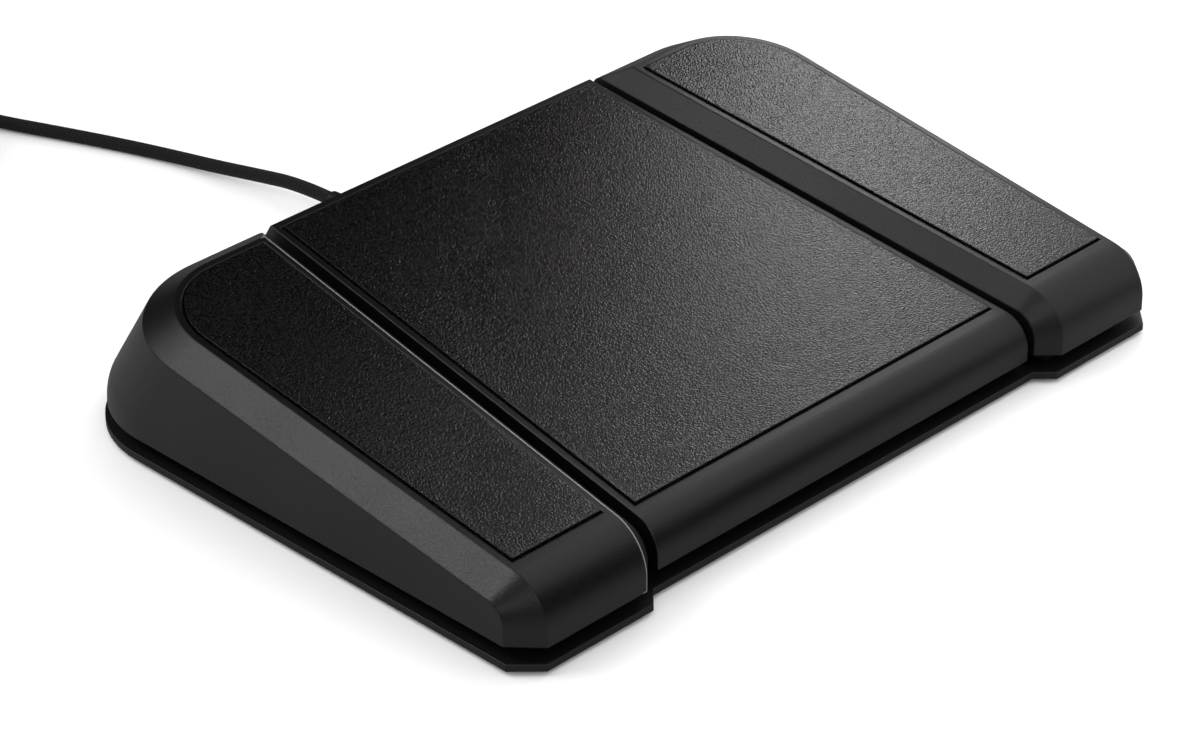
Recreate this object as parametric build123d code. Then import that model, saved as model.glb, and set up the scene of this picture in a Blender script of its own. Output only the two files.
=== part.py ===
from build123d import *
import os
from math import ceil, cos, pi, radians, sin, sqrt, tan

os.makedirs("parts", exist_ok=True)

# USB foot switch with three pedals on one steel base plate.
# Lengths are in millimetres and angles in degrees. X runs to the right pedal,
# Y to the back, where the lead leaves, and Z up. The origin is on the floor,
# under the middle of the base plate.

# Base plate
plate_width = 246.0
plate_depth = 180.0
plate_thickness = 2.0
plate_corner_cut = 7.2
plate_notch_depth = 4.75
plate_notch_margin = 3.2
back_radius = 34.0
foot_height = 1.5
foot_diameter = 16.0
foot_edge_inset = 22.0

# Pedal shells, seen from outside
slope_angle = 8.2
reveal = 4.4
pedal_inset = 0.4
side_front_height = 23.3
middle_front_height = 18.6
side_roll = 13.3
middle_roll = 9.5
middle_setback = 5.15
bevel_width = 7.4
bevel_drop = 6.2
bevel_front = 8.1
crease_roll = 6.0
inner_bevel = 5.2
side_width = 47.1
gap_width = 3.34
taper_share = 0.07
back_inset = 0.7
lean_angle = 32.8
lean_height = 12.2
lean_blend = 15.0
ridge_radius = 25.1
ridge_setback = 27.8
middle_back_setback = 20.0
shell_wall = 2.5
split_depth = 60.0
# The rounded back corners take at most this share of a side pedal's width.
corner_share = 0.75

# Rubber pads
pad_margin = 2.6
pad_groove = 0.7
pad_raise = 0.5
pad_pocket = 1.5
pad_front = 3.3

# Hinges and travel
travel_angle = 1.2
hinge_setback = 22.0
hinge_height = 13.5
pin_diameter = 5.0
pin_fit = 0.02
pin_running = 0.08
hinge_thickness = 5.0
hinge_depth = 10.0
hinge_gap = 0.3
side_pin_inner_gap = 0.46
side_pin_outer_inset = 13.6
middle_pin_inset = 9.1
stop_clearance = 0.15

# Plastic frames under the pedals
frame_inset = 6.1
frame_wall = 2.0
frame_floor = 1.6
frame_height = 8.5
side_middle_offset = 2.05
screw_boss_diameter = 7.0
side_screw_offset = 14.0
middle_screw_inset = 27.16
screw_front = 33.0
screw_back = 112.0
screw_diameter = 3.0
screw_head = 6.0
screw_head_depth = 1.7
screw_length = 7.5

# Return springs and rubber stops, by their distance behind the pedal's front
spring_place = 45.0
spring_diameter = 12.0
spring_wire = 1.2
spring_turns = 6
spring_seat = 14.0
spring_seat_depth = 2.3
spring_nub = 8.4
spring_nub_height = 3.0
spring_gap = 0.1
stop_place = 24.0
stop_diameter = 9.0
stop_height = 4.0
stop_post = 7.0
lug_width = 10.0
lug_thickness = 1.6
lug_clearance = 0.3
lug_gap = 0.1
tab_gap = 1.0
tab_thickness = 2.0
rib_thickness = 1.6
rib_height = 6.0
rib_depth_shares = (0.58, 0.72)

# Circuit boards and switches
board_thickness = 1.6
board_standoff = 1.2
board_boss = 5.0
side_board_width = 24.0
side_board_depth = 36.0
main_board_width = 36.0
main_board_front = 57.0
main_board_back_gap = 1.0
board_screw_inset = 3.4
board_screw_diameter = 2.5
board_screw_head = 4.5
board_screw_head_height = 1.6
board_screw_length = 3.8
switch_place = 75.0
switch_width = 8.0
switch_length = 20.0
switch_height = 12.0
plunger_diameter = 3.0
plunger_reach = 1.9
plunger_length = 4.4
plunger_stroke = 1.8
plunger_clearance = 0.08
plunger_floor = 0.3
actuator_diameter = 6.0
actuator_gap = 0.15
chip_size = 9.0
chip_thickness = 1.4
chip_setback = 25.0
lead_width = 6.0
lead_thickness = 0.7
lead_overlap = 4.0
lead_clearance = 0.5
lead_setback = 12.0

# USB-C socket and plug
socket_width = 8.94
socket_height = 3.26
socket_length = 7.3
socket_wall = 0.3
socket_back = 2.0
socket_clearance = 0.3
tongue_width = 6.7
tongue_thickness = 0.7
tongue_length = 4.6
plug_shell_width = 8.25
plug_shell_height = 2.4
plug_shell_wall = 0.25
plug_end_clearance = 0.3
plug_gap = 0.4
plug_width = 12.4
plug_height = 6.5
plug_length = 21.0
plug_round = 2.6
plug_notch_clearance = 2.8
relief_length = 9.0
relief_start = 6.4
relief_end = 5.2

# Lead, coil and USB-A plug
cord_diameter = 4.5
cord_length = 2200.0
# The cord's route from the strain relief to the coil, by hand.
cord_route = [
    (0.0, 114.0, 9.53),
    (0.3, 128.5, 8.9),
    (-0.4, 146.0, 5.6),
    (-2.6, 163.0, 3.1),
    (-6.9, 180.0, 2.3),
    (-13.2, 197.0, 2.25),
    (-20.6, 214.5, 2.25),
    (-28.6, 231.5, 2.5),
    (-35.6, 248.5, 3.4),
    (-42.26, 258.8, 3.45),
]
# The free end from the coil to the USB-A plug, by hand.
tail_route = [
    (-84.67, 281.83, 18.45),
    (-95.9, 280.1, 18.4),
    (-109.5, 271.0, 16.6),
    (-119.5, 257.0, 12.0),
    (-124.3, 241.0, 7.0),
    (-125.2, 226.0, 4.4),
    (-125.2, 213.0, 4.0),
]
coil_x = -74.5
coil_y = 250.0
coil_radius = 33.0
coil_pitch = 5.0
coil_start_angle = 23.0
coil_end_angle = 100.0
coil_turns = 12
coil_layers = 4
coil_lift = 1.2
tie_width = 9.0
tie_thickness = 0.9
tie_gap = 0.3
tie_angle = -60.0
usb_a_body_width = 15.7
usb_a_body_height = 8.0
usb_a_body_length = 27.0
usb_a_body_round = 2.5
usb_a_shell_width = 12.0
usb_a_shell_height = 4.5
usb_a_shell_length = 18.8
usb_a_shell_wall = 0.3
usb_a_insert_thickness = 1.9
usb_a_insert_gap = 0.1

# Cutting tools reach past what they cut by this much.
overrun = 1.0
# Faces this near a plane, and this near its direction, lie on it.
match_distance = 0.0001
match_share = 0.00001
# Share of the shorter run that an arc of the lead's path takes.
bend_share = 0.45
gap_samples = 2400

# Places worked out from the sizes above
front = -plate_depth / 2
back = front + plate_depth - back_inset
plate_bottom = foot_height
plate_top = foot_height + plate_thickness
skirt = plate_top + reveal
floor_top = plate_top + frame_floor
frame_top = plate_top + frame_height
side_outer = plate_width / 2 - pedal_inset
gap_half_width = side_outer - side_width
plate_notch_edge = gap_half_width + plate_notch_margin
side_front = front + pedal_inset
middle_front = front + middle_setback
ridge_x = -side_outer + bevel_width
ridge_back = front + plate_depth - ridge_setback
middle_back = front + plate_depth - middle_back_setback
split_y = front + split_depth
hinge_y = front + plate_depth - hinge_setback
rise = tan(radians(slope_angle))
far = 3 * plate_width
spring_y = front + spring_place
switch_y = front + switch_place
hinge_reach = hinge_y - front
gap_at_hinge = gap_half_width - taper_share * hinge_reach
middle_half_front = gap_half_width - gap_width
side_pin_inner = gap_at_hinge + frame_inset + side_pin_inner_gap
side_pin_length = side_outer - side_pin_outer_inset - side_pin_inner
side_pin_middle = side_pin_inner + side_pin_length / 2
middle_pin_length = 2 * (gap_at_hinge - gap_width - middle_pin_inset)
middle_screw_offset = middle_half_front - middle_screw_inset
side_middle = (side_outer + gap_half_width) / 2 - side_middle_offset
stop_y = front + stop_place
board_bottom = floor_top + board_standoff
board_top = board_bottom + board_thickness
switch_top = board_top + switch_height
plunger_top = switch_top + plunger_reach
frame_back_inner = back - frame_inset - frame_wall
socket_z = board_top + socket_height / 2
socket_mouth = frame_back_inner + frame_wall + plug_gap
lead_y = switch_y + lead_setback
corner_radius = min(back_radius, corner_share * side_width)
ridge_corner_radius = min(ridge_radius, corner_share * (side_width - bevel_width - inner_bevel))
inner_normal = Vector(-1, taper_share, 0).normalized()
corner_normal = Vector(bevel_front, bevel_width, 0).normalized()


# Basic shapes

def top_height(y, front_height, drop=0.0):
    # The pedals' sloping top plane, or one lowered by drop.
    return front_height + rise * (y - front) - drop


def box(x0, x1, y0, y1, z0, z1):
    return Solid.make_box(x1 - x0, y1 - y0, z1 - z0).moved(Location((x0, y0, z0)))


def post(x, y, z0, z1, diameter):
    return Solid.make_cylinder(diameter / 2, z1 - z0, Plane((x, y, z0)))


def rod(x0, x1, y, z, diameter):
    plane = Plane(origin=(x0, y, z), z_dir=(1, 0, 0))
    return Solid.make_cylinder(diameter / 2, x1 - x0, plane)


def keep(solid, point, normal):
    # The part of a solid on the side of a plane that its normal points to.
    plane = Plane(origin=point, z_dir=tuple(normal))
    half = Solid.make_box(2 * far, 2 * far, far).moved(Location((-far, -far, 0)))
    return solid & (plane.location * half)


def face_on(solid, point, normal):
    # The flat face of a solid that lies on a given plane.
    unit = Vector(*normal).normalized()
    for face in solid.faces():
        level = abs((face.center() - Vector(*point)).dot(unit))
        along = face.geom_type == GeomType.PLANE and abs(face.normal_at().dot(unit)) > 1 - match_share
        if along and level < match_distance:
            return face


def slab(wire, z0, z1):
    return Solid.extrude(Face(wire).moved(Location((0, 0, z0))), Vector(0, 0, z1 - z0))


def rounded_bar(width, height, length, radius, place):
    # A bar along Y with rounded long edges, from place to its back end.
    x, y, z = place
    plane = Plane(origin=(x, y, z), x_dir=(1, 0, 0), z_dir=(0, 1, 0))
    outline = plane * RectangleRounded(width, height, radius)
    return Solid.extrude(outline.face(), Vector(0, length, 0))


# Pedal shells. The left one is modelled and the right one mirrors it.

def pedal_profile(y_front, radius, front_height, drop, y_back, z_bottom):
    # Front wall, rolled edge and sloping top, in the YZ plane.
    turn = radians(slope_angle)
    y_mid = y_front + radius
    z_mid = top_height(y_mid, front_height, drop) - radius / cos(turn)
    half = (pi + pi / 2 + turn) / 2
    on_roll = (y_mid + radius * cos(half), z_mid + radius * sin(half))
    on_top = (y_mid - radius * sin(turn), z_mid + radius * cos(turn))
    z_back = top_height(y_back, front_height, drop)
    return Wire([
        Line((y_back, z_bottom), (y_front, z_bottom)).edge(),
        Line((y_front, z_bottom), (y_front, z_mid)).edge(),
        ThreePointArc((y_front, z_mid), on_roll, on_top).edge(),
        Line(on_top, (y_back, z_back)).edge(),
        Line((y_back, z_back), (y_back, z_bottom)).edge(),
    ])


def profile_bar(wire, x0, x1):
    return Solid.extrude(Plane.YZ.offset(x0).location * Face(wire), Vector(x1 - x0, 0, 0))


def wall_path(y, z_start):
    # Up the back wall, straight and then leaning to the front.
    turn = radians(lean_angle)
    z_turn = lean_height - lean_blend * tan(turn / 2)
    foot = (0, y, z_start)
    low = (0, y, z_turn)
    mid = (0, y - lean_blend * (1 - cos(turn / 2)), z_turn + lean_blend * sin(turn / 2))
    high = (0, y - lean_blend * (1 - cos(turn)), z_turn + lean_blend * sin(turn))
    run = plate_depth / 3
    end = (0, high[1] - run * sin(turn), high[2] + run * cos(turn))
    return Wire([
        Line(foot, low).edge(),
        ThreePointArc(low, mid, high).edge(),
        Line(high, end).edge(),
    ])


def back_body(inset, y_start, z_start=skirt - reveal, x_far=-gap_half_width / 2):
    # Rounded outer back corner of the left pedal, leaning as the back wall leans.
    radius = corner_radius - inset
    x_out = -side_outer + inset
    y_out = back - inset
    middle = radius * (1 - cos(pi / 4))
    outline = Wire([
        Line((x_far, y_start), (x_out, y_start)).edge(),
        Line((x_out, y_start), (x_out, y_out - radius)).edge(),
        ThreePointArc((x_out, y_out - radius), (x_out + middle, y_out - middle),
                      (x_out + radius, y_out)).edge(),
        Line((x_out + radius, y_out), (x_far, y_out)).edge(),
        Line((x_far, y_out), (x_far, y_start)).edge(),
    ])
    start = Face(outline).moved(Location((0, 0, z_start)))
    return sweep(start, path=wall_path(y_out, z_start), normal=(0, 0, 1)).solid()


def gap_x(y):
    # Inner side of the left pedal.
    return -(gap_half_width - taper_share * (y - front))


def inner_plane(inset):
    return (gap_x(front) - inset, front, 0)


def corner_plane(inset):
    # Slanted face of the left pedal's outer front corner.
    shift = corner_normal * inset
    return (ridge_x + shift.X, side_front + shift.Y, 0)


def ridge_outline(margin, y_start, inset):
    # The raised top inside the bevels, seen from above, its inner side inset from the gap.
    x_out = ridge_x + margin
    y_out = ridge_back - margin
    radius = ridge_corner_radius - margin
    middle = radius * (1 - cos(pi / 4))
    return Wire([
        Line((gap_x(y_start) - inset, y_start), (x_out, y_start)).edge(),
        Line((x_out, y_start), (x_out, y_out - radius)).edge(),
        ThreePointArc((x_out, y_out - radius), (x_out + middle, y_out - middle),
                      (x_out + radius, y_out)).edge(),
        Line((x_out + radius, y_out), (gap_x(y_out) - inset, y_out)).edge(),
        Line((gap_x(y_out) - inset, y_out), (gap_x(y_start) - inset, y_start)).edge(),
    ])


def side_front_half():
    # The rolled front with its bevelled outer and inner edges.
    x_in = -gap_half_width / 2
    full = profile_bar(
        pedal_profile(side_front, side_roll, side_front_height, 0, split_y, skirt), -side_outer, x_in)
    crease = profile_bar(
        pedal_profile(side_front + bevel_front, crease_roll, side_front_height, bevel_drop,
                      split_y, skirt), -side_outer, x_in)
    middle = keep(full, (ridge_x, 0, 0), (1, 0, 0))
    ridge_wire = face_on(middle, (ridge_x, 0, 0), (1, 0, 0)).outer_wire()
    crease_wire = face_on(crease, (-side_outer, 0, 0), (1, 0, 0)).outer_wire()
    outer = Solid.make_loft([crease_wire, ridge_wire], ruled=True)
    core = keep(middle, inner_plane(inner_bevel), inner_normal)
    low = profile_bar(
        pedal_profile(side_front + inner_bevel, side_roll - inner_bevel, side_front_height,
                      inner_bevel, split_y, skirt), -side_outer, x_in)
    low = keep(low, inner_plane(0), inner_normal)
    core_wire = face_on(core, inner_plane(inner_bevel), inner_normal).outer_wire()
    low_wire = face_on(low, inner_plane(0), inner_normal).outer_wire()
    inner = Solid.make_loft([low_wire, core_wire], ruled=True)
    return core.fuse(outer, inner).clean()


def side_back_half():
    # The leaning back with its round corner, up to the bevel's crease, and the bevel.
    low = back_body(0, split_y - plate_depth / 3)
    low = keep(low, (0, split_y, 0), (0, 1, 0))
    low = keep(low, inner_plane(0), inner_normal)
    low = keep(low, (0, 0, skirt), (0, 0, 1))
    crease = (0, front, side_front_height - bevel_drop)
    low = keep(low, crease, (0, rise, -1)).solid()
    crease_wire = face_on(low, crease, (0, rise, -1)).outer_wire()
    prism = slab(ridge_outline(0, split_y, 0), skirt, skirt + plate_depth)
    prism = keep(prism, (0, front, side_front_height), (0, rise, -1)).solid()
    ridge_wire = face_on(prism, (0, front, side_front_height), (0, rise, -1)).outer_wire()
    upper = Solid.make_loft([crease_wire, ridge_wire], ruled=True)
    return low.fuse(upper).clean()


def inner_wedge():
    # What the inner bevel takes off behind the front half.
    x = gap_x(split_y)
    z = top_height(split_y, side_front_height)
    corner = Vector(x, split_y, z)
    lean = Vector(taper_share, 1, rise)
    out = Vector(overrun, 0, 0)
    up = Vector(0, 0, overrun)
    points = [
        corner - Vector(inner_bevel, 0, 0) - out + up,
        corner - Vector(0, 0, inner_bevel) + out - up,
        corner + out + up,
    ]
    wire = Wire.make_polygon(points, close=True)
    return Solid.extrude(Face(wire), lean * plate_depth)


def side_outer_form():
    back_half = side_back_half().cut(inner_wedge())
    return side_front_half().fuse(back_half).clean()


def side_cavity():
    # The hollow under the left pedal, lower under the bevel and higher inside it.
    x_in = -gap_half_width / 2
    inset = side_front + shell_wall
    roll = side_roll - shell_wall
    low_wire = pedal_profile(inset, roll, side_front_height, bevel_drop + shell_wall, back, plate_top)
    low = profile_bar(low_wire, -side_outer, x_in) & back_body(shell_wall, front, plate_bottom)
    low = keep(low, inner_plane(shell_wall), inner_normal)
    high_drop = pad_pocket + shell_wall
    high_wire = pedal_profile(inset, roll, side_front_height, high_drop, back, plate_top)
    high = profile_bar(high_wire, -side_outer, x_in)
    high = high & slab(ridge_outline(0, front, inner_bevel), plate_top, plate_depth)
    both = low.fuse(high)
    return keep(both, corner_plane(shell_wall), corner_normal).clean()


def between_gaps(solid, inset):
    # What lies between the middle pedal's two slanted sides.
    for side in (-1, 1):
        point = (side * (middle_half_front - inset), front, 0)
        solid = keep(solid, point, Vector(-side, -taper_share, 0).normalized())
    return solid


def back_wall_side(solid, inset):
    # What lies in front of the leaning back wall.
    y_out = back - inset
    plan = box(-plate_width / 2, plate_width / 2, front - plate_depth, y_out, 0, foot_height)
    base = face_on(plan, (0, 0, 0), (0, 0, 1))
    return solid & sweep(base, path=wall_path(y_out, 0), normal=(0, 0, 1)).solid()


def middle_outer_form():
    wire = pedal_profile(middle_front, middle_roll, middle_front_height, 0, back, skirt)
    return between_gaps(back_wall_side(profile_bar(wire, -gap_half_width, gap_half_width), 0), 0)


def middle_cavity():
    wire = pedal_profile(middle_front + shell_wall, middle_roll - shell_wall, middle_front_height,
                         pad_pocket + shell_wall, back, plate_top)
    bar = profile_bar(wire, -gap_half_width, gap_half_width)
    return between_gaps(back_wall_side(bar, shell_wall), shell_wall)


def pad_prism(side, margin):
    # The plan of a pad, grown or shrunk by its margin to the pedal's edges.
    roll = side_roll if side else middle_roll
    y_start = (side_front if side else middle_front) + roll * (1 - sin(radians(slope_angle)))
    y_start += pad_front - (pad_margin - margin)
    if side:
        return slab(ridge_outline(margin, y_start, inner_bevel + margin), skirt, plate_depth)
    y_end = middle_back - margin
    block = box(-gap_half_width, gap_half_width, y_start, y_end, skirt, plate_depth)
    return between_gaps(block, margin)


def layer(solid, front_height, low_drop, high_drop):
    # The part of a solid between two planes parallel to the pedal's top.
    solid = keep(solid, (0, front, front_height - low_drop), (0, -rise, 1))
    if high_drop is None:
        return solid
    return keep(solid, (0, front, front_height - high_drop), (0, rise, -1))


def shell_insides(side, cavity):
    # Knuckles, spring seat, switch actuator, stops and ribs inside a pedal shell.
    x = -side_middle if side else 0
    x_hinge = -side_pin_middle if side else 0
    half = side_pin_length / 2 if side else middle_pin_length / 2
    height = side_front_height if side else middle_front_height
    y_front = side_front if side else middle_front
    top = skirt + plate_depth
    travel = radians(travel_angle)
    pieces = []
    for way in (-1, 1):
        x_out = x_hinge + way * (half - hinge_thickness - hinge_gap)
        x_in = x_out - way * hinge_thickness
        pieces.append(box(min(x_in, x_out), max(x_in, x_out), hinge_y - hinge_depth / 2,
                          hinge_y + hinge_depth / 2, hinge_height - pin_diameter, top))
    seat = top_height(spring_y, height, pad_pocket + shell_wall + spring_seat_depth)
    pieces.append(post(x, spring_y, seat, top, spring_seat))
    pieces.append(post(x, spring_y, seat - spring_nub_height, top, spring_nub))
    pieces.append(post(x, switch_y, plunger_top + actuator_gap, top, actuator_diameter))
    stop_z = floor_top + stop_height + (hinge_y - stop_y) * tan(travel) + stop_clearance
    pieces.append(box(x - stop_post / 2, x + stop_post / 2, stop_y - stop_post / 2,
                      stop_y + stop_post / 2, stop_z, top))
    wall_y = y_front + frame_inset + frame_wall
    lug_y = wall_y - frame_wall + lug_clearance
    lug_z = lug_height(lug_y)
    tab_y = wall_y + tab_gap
    pieces.append(box(x - lug_width / 2, x + lug_width / 2, tab_y, tab_y + tab_thickness, lug_z, top))
    for share in rib_depth_shares:
        y = front + share * plate_depth
        z = top_height(y, height, pad_pocket + shell_wall + rib_height)
        pieces.append(box(-far, far, y, y + rib_thickness, z, top))
    lug = box(x - lug_width / 2, x + lug_width / 2, lug_y, tab_y, lug_z, lug_z + lug_thickness)
    return [piece & cavity for piece in pieces] + [lug]


def lug_height(lug_y):
    # Underside of the upper stop's lug, which just clears the frame's floor when pressed.
    return floor_top + (hinge_y - lug_y) * tan(radians(travel_angle)) + lug_clearance


def pedal_shell(side):
    height = side_front_height if side else middle_front_height
    outer = side_outer_form() if side else middle_outer_form()
    cavity = side_cavity() if side else middle_cavity()
    pocket = layer(pad_prism(side, pad_margin - pad_groove), height, pad_pocket, None)
    shell = outer.cut(cavity, pocket)
    shell = shell.fuse(*shell_insides(side, cavity))
    bore = rod(-far, far, hinge_y, hinge_height, pin_diameter + 2 * pin_running)
    shell = shell.cut(bore & cavity)
    if not side:
        half = plug_width / 2 + plug_notch_clearance
        z = socket_z + plug_height / 2 + plug_notch_clearance
        shell = shell.cut(box(-half, half, frame_back_inner, back + overrun, 0, z))
    return shell.clean()


def pedal_pad(side):
    height = side_front_height if side else middle_front_height
    return layer(pad_prism(side, pad_margin), height, pad_pocket, -pad_raise)


# Frames

def frame_block(side, inset, z0, z1):
    if side:
        block = back_plan(inset, z0, z1)
        block = keep(block, (0, side_front + inset, 0), (0, 1, 0))
        block = keep(block, inner_plane(inset), inner_normal)
        return keep(block, corner_plane(inset), corner_normal)
    block = box(-gap_half_width, gap_half_width, middle_front + inset, back - inset, z0, z1)
    return between_gaps(block, inset)


def back_plan(inset, z0, z1):
    # Upright block with the left pedal's rounded outer back corner.
    radius = corner_radius - inset
    x_out = -side_outer + inset
    y_out = back - inset
    x_far = -gap_half_width / 2
    middle = radius * (1 - cos(pi / 4))
    return slab(Wire([
        Line((x_far, front), (x_out, front)).edge(),
        Line((x_out, front), (x_out, y_out - radius)).edge(),
        ThreePointArc((x_out, y_out - radius), (x_out + middle, y_out - middle),
                      (x_out + radius, y_out)).edge(),
        Line((x_out + radius, y_out), (x_far, y_out)).edge(),
        Line((x_far, y_out), (x_far, front)).edge(),
    ]), z0, z1)


def screw_places(side):
    x = -side_middle if side else 0
    offset = side_screw_offset if side else middle_screw_offset
    return [(x + way * offset, front + y) for way in (-1, 1) for y in (screw_front, screw_back)]


def board_area(side):
    # Left, right, front and back edges of a board.
    if side:
        half = side_board_width / 2
        return (-side_middle - half, -side_middle + half, switch_y - side_board_depth / 2,
                switch_y + side_board_depth / 2)
    half = main_board_width / 2
    return (-half, half, front + main_board_front, frame_back_inner - main_board_back_gap)


def board_screw_places(side):
    x0, x1, y0, y1 = board_area(side)
    inset = board_screw_inset
    if side:
        return [(x0 + inset, y1 - inset), (x1 - inset, y0 + inset)]
    y_back = hinge_y - hinge_depth
    return [(x, y) for x in (x0 + inset, x1 - inset) for y in (y0 + inset, y_back)]


def frame(side):
    x_hinge = -side_pin_middle if side else 0
    half = side_pin_length / 2 if side else middle_pin_length / 2
    x = -side_middle if side else 0
    y_front = side_front if side else middle_front
    body = frame_block(side, frame_inset, plate_top, frame_top)
    inside = frame_block(side, frame_inset + frame_wall, floor_top, frame_top + overrun)
    body = body.cut(inside)
    pieces = []
    for way in (-1, 1):
        x_out = x_hinge + way * half
        x_in = x_out - way * hinge_thickness
        pieces.append(box(min(x_in, x_out), max(x_in, x_out), hinge_y - hinge_depth / 2,
                          hinge_y + hinge_depth / 2, plate_top, hinge_height))
        pieces.append(rod(min(x_in, x_out), max(x_in, x_out), hinge_y, hinge_height, hinge_depth))
    for place in screw_places(side):
        pieces.append(post(*place, plate_top, frame_top - overrun, screw_boss_diameter))
    for place in board_screw_places(side):
        pieces.append(post(*place, plate_top, board_bottom, board_boss))
    pieces.append(post(x, spring_y, plate_top, floor_top + spring_nub_height, spring_nub))
    body = body.fuse(*pieces)
    cuts = [rod(x_hinge - half - overrun, x_hinge + half + overrun, hinge_y, hinge_height,
                pin_diameter + 2 * pin_fit)]
    for place in screw_places(side):
        cuts.append(post(*place, plate_top - overrun, plate_bottom + screw_length, screw_diameter))
    for place in board_screw_places(side):
        cuts.append(post(*place, board_top - board_screw_length, board_top, board_screw_diameter))
    lug_y = y_front + frame_inset
    window_top = lug_height(lug_y + lug_clearance) + lug_thickness + lug_gap
    half_window = lug_width / 2 + tab_gap
    cuts.append(box(x - half_window, x + half_window, lug_y - overrun, lug_y + frame_wall + lug_gap,
                    floor_top, window_top))
    cuts.append(lead_slot(side))
    if not side:
        reach = socket_width / 2 + socket_clearance
        cuts.append(box(-reach, reach, frame_back_inner - overrun, back, board_top,
                        socket_z + socket_height / 2 + socket_clearance))
    return body.cut(*cuts).clean()


def lead_slot(side):
    # Notches in the frames' facing walls for the flat leads.
    half = lead_width / 2 + lead_clearance
    x_far = side_middle if side else gap_half_width
    x0 = -x_far if side else -gap_half_width
    x1 = -main_board_width / 2 if side else gap_half_width
    return box(x0, x1, lead_y - half, lead_y + half, floor_top, floor_top + lead_thickness + lead_clearance)


# Base plate and feet

def base_plate():
    half = plate_width / 2
    radius = corner_radius
    middle = radius * (1 - cos(pi / 4))
    cut = plate_corner_cut
    y_notch = front + plate_notch_depth
    inner = plate_notch_edge - plate_notch_depth
    y_back = front + plate_depth
    corners = [(-half, front + cut), (-half + cut, front), (-plate_notch_edge, front), (-inner, y_notch),
               (inner, y_notch), (plate_notch_edge, front), (half - cut, front), (half, front + cut)]
    edges = [Line(a, b).edge() for a, b in zip(corners, corners[1:])]
    edges += [
        Line((half, front + cut), (half, y_back - radius)).edge(),
        ThreePointArc((half, y_back - radius), (half - middle, y_back - middle),
                      (half - radius, y_back)).edge(),
        Line((half - radius, y_back), (-half + radius, y_back)).edge(),
        ThreePointArc((-half + radius, y_back), (-half + middle, y_back - middle),
                      (-half, y_back - radius)).edge(),
        Line((-half, y_back - radius), (-half, front + cut)).edge(),
    ]
    plate = slab(Wire(edges), plate_bottom, plate_top)
    return plate.cut(*[screw(x, y) for x, y in all_screw_places()])


def all_screw_places():
    side = screw_places(True)
    return side + screw_places(False) + [(-x, y) for x, y in side]


def screw(x, y):
    # Countersunk screw, driven from below through the plate into a frame's boss.
    head = Solid.make_cone(screw_head / 2, screw_diameter / 2, screw_head_depth,
                           Plane((x, y, plate_bottom)))
    return head.fuse(post(x, y, plate_bottom, plate_bottom + screw_length, screw_diameter))


def board_screw(x, y):
    shank = post(x, y, board_top - board_screw_length, board_top + board_screw_head_height,
                 board_screw_diameter)
    head = post(x, y, board_top, board_top + board_screw_head_height, board_screw_head)
    return head.fuse(shank)


def foot(x, y):
    return post(x, y, 0, foot_height, foot_diameter)


# Boards and switches

def board(side):
    x0, x1, y0, y1 = board_area(side)
    blank = box(x0, x1, y0, y1, board_bottom, board_top)
    holes = [post(x, y, board_bottom - overrun, board_top + overrun, board_screw_diameter)
             for x, y in board_screw_places(side)]
    return blank.cut(*holes)


def switch_body(x):
    block = box(x - switch_width / 2, x + switch_width / 2, switch_y - switch_length / 2,
                switch_y + switch_length / 2, board_top, switch_top)
    depth = plunger_length - plunger_reach + plunger_stroke + plunger_floor
    well = post(x, switch_y, switch_top - depth, switch_top + overrun,
                plunger_diameter + 2 * plunger_clearance)
    return block.cut(well)


def plunger(x):
    return post(x, switch_y, plunger_top - plunger_length, plunger_top, plunger_diameter)


def flat_lead(way):
    # Flat lead on the frames' floors, between a side board and the main board.
    x_in = main_board_width / 2 - lead_overlap
    x_out = side_middle - side_board_width / 2 + lead_overlap
    x0, x1 = (-x_out, -x_in) if way < 0 else (x_in, x_out)
    half = lead_width / 2
    return box(x0, x1, lead_y - half, lead_y + half, floor_top, floor_top + lead_thickness)


def chip():
    y = switch_y + chip_setback
    half = chip_size / 2
    return box(-half, half, y - half, y + half, board_top, board_top + chip_thickness)


def return_spring(side):
    # Round wire, wound up from the frame's floor to just under the shell's seat.
    x = -side_middle if side else 0
    height = side_front_height if side else middle_front_height
    seat = top_height(spring_y, height, pad_pocket + shell_wall + spring_seat_depth)
    low = floor_top + spring_wire / 2 + spring_gap
    length = seat - floor_top - spring_wire - 2 * spring_gap
    radius = (spring_diameter - spring_wire) / 2
    path = Wire([Edge.make_helix(length / spring_turns, length, radius)])
    start = path @ 0
    plane = Plane(origin=start, z_dir=path % 0)
    wire = sweep(plane * Circle(spring_wire / 2), path=path, is_frenet=True).solid()
    return wire.moved(Location((x, spring_y, low)))


# USB-C socket and plug

def stadium_bar(width, height, length, y, z):
    plane = Plane(origin=(0, y, z), x_dir=(1, 0, 0), z_dir=(0, 1, 0))
    straight = width - height
    outline = plane * SlotCenterToCenter(straight, height)
    return Solid.extrude(outline.face(), Vector(0, length, 0))


def socket_shell():
    y = socket_mouth - socket_length
    outer = stadium_bar(socket_width, socket_height, socket_length, y, socket_z)
    inner = stadium_bar(socket_width - 2 * socket_wall, socket_height - 2 * socket_wall,
                        socket_length + 2 * overrun, y - overrun, socket_z)
    return outer.cut(inner)


def socket_tongue():
    y = socket_mouth - socket_length
    block = stadium_bar(socket_width - 2 * socket_wall, socket_height - 2 * socket_wall,
                        socket_back, y, socket_z)
    half = tongue_width / 2
    blade = box(-half, half, y, y + socket_back + tongue_length, socket_z - tongue_thickness / 2,
                socket_z + tongue_thickness / 2)
    return block.fuse(blade).clean()


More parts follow.
